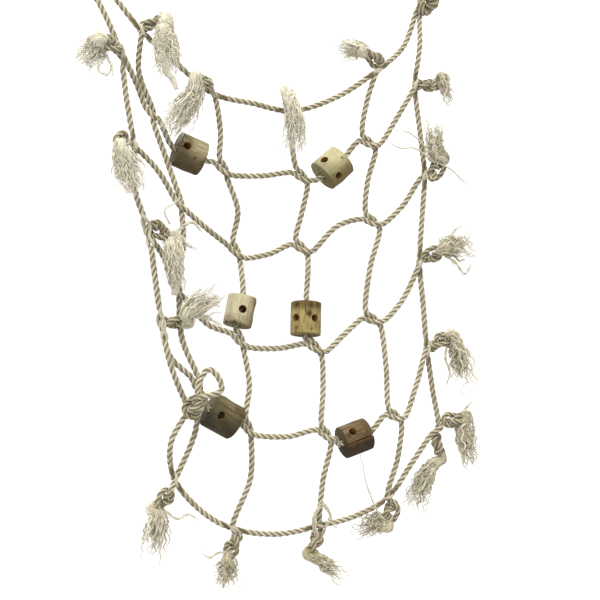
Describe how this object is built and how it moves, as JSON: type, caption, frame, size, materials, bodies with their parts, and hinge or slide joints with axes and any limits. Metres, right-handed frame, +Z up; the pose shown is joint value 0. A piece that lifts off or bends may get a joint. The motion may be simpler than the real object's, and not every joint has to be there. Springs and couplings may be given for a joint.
{
  "type": "knotted rope climbing net",
  "caption": "Hanging net of twisted natural rope tied in open cells, with bored wooden blocks threaded on it, frayed tassel ends, and loops in its corners to hang it by.",
  "frame": {"origin": "inside top of the upper left hanging loop, where the hook bears", "axes": "+X along the line from the left hanging loop to the right one, +Z up, -Y the net's front"},
  "size_m": [0.4275, 0.0802, 0.6411],
  "materials": {
    "twisted_rope": "laid natural fibre rope, undyed",
    "frayed_rope": "combed out rope yarns",
    "branch_wood": "debarked branch wood, unfinished"
  },
  "bodies": {
    "net": {"border_bottom": "twisted_rope", "border_left": "twisted_rope", "border_right": "twisted_rope", "border_top": "twisted_rope", "level_rope_1": "twisted_rope", "level_rope_2": "twisted_rope", "level_rope_3": "twisted_rope", "level_rope_4": "twisted_rope", "upright_rope_1": "twisted_rope", "upright_rope_2": "twisted_rope", "upright_rope_3": "twisted_rope", "upright_rope_4": "twisted_rope", "loop_top_left": "twisted_rope", "loop_top_right": "twisted_rope", "loop_bottom_left": "twisted_rope", "corner_knot_top_left": "twisted_rope", "corner_knot_top_right": "twisted_rope", "corner_knot_bottom_left": "twisted_rope", "end_knot_top_1": "twisted_rope", "end_knot_top_2": "twisted_rope", "end_knot_top_3": "twisted_rope", "end_knot_top_4": "twisted_rope", "end_knot_left_1": "twisted_rope", "end_knot_left_2": "twisted_rope", "end_knot_left_3": "twisted_rope", "end_knot_left_4": "twisted_rope", "end_knot_right_1": "twisted_rope", "end_knot_right_2": "twisted_rope", "end_knot_right_3": "twisted_rope", "end_knot_right_4": "twisted_rope", "end_knot_bottom_1": "twisted_rope", "end_knot_bottom_2": "twisted_rope", "end_knot_bottom_3": "twisted_rope", "end_knot_bottom_4": "twisted_rope", "end_knot_corner_1": "twisted_rope", "end_knot_corner_2": "twisted_rope", "tassel_top_1": "frayed_rope", "tassel_top_2": "frayed_rope", "tassel_top_3": "frayed_rope", "tassel_top_4": "frayed_rope", "tassel_left_1": "frayed_rope", "tassel_left_2": "frayed_rope", "tassel_left_3": "frayed_rope", "tassel_left_4": "frayed_rope", "tassel_right_1": "frayed_rope", "tassel_right_2": "frayed_rope", "tassel_right_3": "frayed_rope", "tassel_right_4": "frayed_rope", "tassel_bottom_1": "frayed_rope", "tassel_bottom_2": "frayed_rope", "tassel_bottom_3": "frayed_rope", "tassel_bottom_4": "frayed_rope", "tassel_corner_1": "frayed_rope", "tassel_corner_2": "frayed_rope"},
    "block_1": {"wood_block_1": "branch_wood"},
    "block_2": {"wood_block_2": "branch_wood"},
    "block_3": {"wood_block_3": "branch_wood"},
    "block_4": {"wood_block_4": "branch_wood"},
    "block_5": {"wood_block_5": "branch_wood"},
    "block_6": {"wood_block_6": "branch_wood"}
  },
  "joints": [
    {"name": "block_1_turn", "type": "hinge", "parent": "net", "child": "block_1", "pos_m": [0.115, 0.009, -0.214], "axis": [0.9392, 0.05, -0.3397], "continuous": true},
    {"name": "block_2_turn", "type": "hinge", "parent": "net", "child": "block_2", "pos_m": [0.265, 0.01, -0.222], "axis": [0.76, 0, 0.65], "continuous": true},
    {"name": "block_3_turn", "type": "hinge", "parent": "net", "child": "block_3", "pos_m": [0.164, 0.001, -0.368], "axis": [-0.2398, -0.1499, -0.9592], "continuous": true},
    {"name": "block_4_turn", "type": "hinge", "parent": "net", "child": "block_4", "pos_m": [0.234, 0.003, -0.376], "axis": [-0.09, -0.1799, -0.9796], "continuous": true},
    {"name": "block_5_turn", "type": "hinge", "parent": "net", "child": "block_5", "pos_m": [0.141, -0.019, -0.469], "axis": [0.8734, 0.0703, -0.4819], "continuous": true},
    {"name": "block_6_turn", "type": "hinge", "parent": "net", "child": "block_6", "pos_m": [0.28, -0.014, -0.496], "axis": [0.9541, 0.0703, 0.2912], "continuous": true}
  ]
}
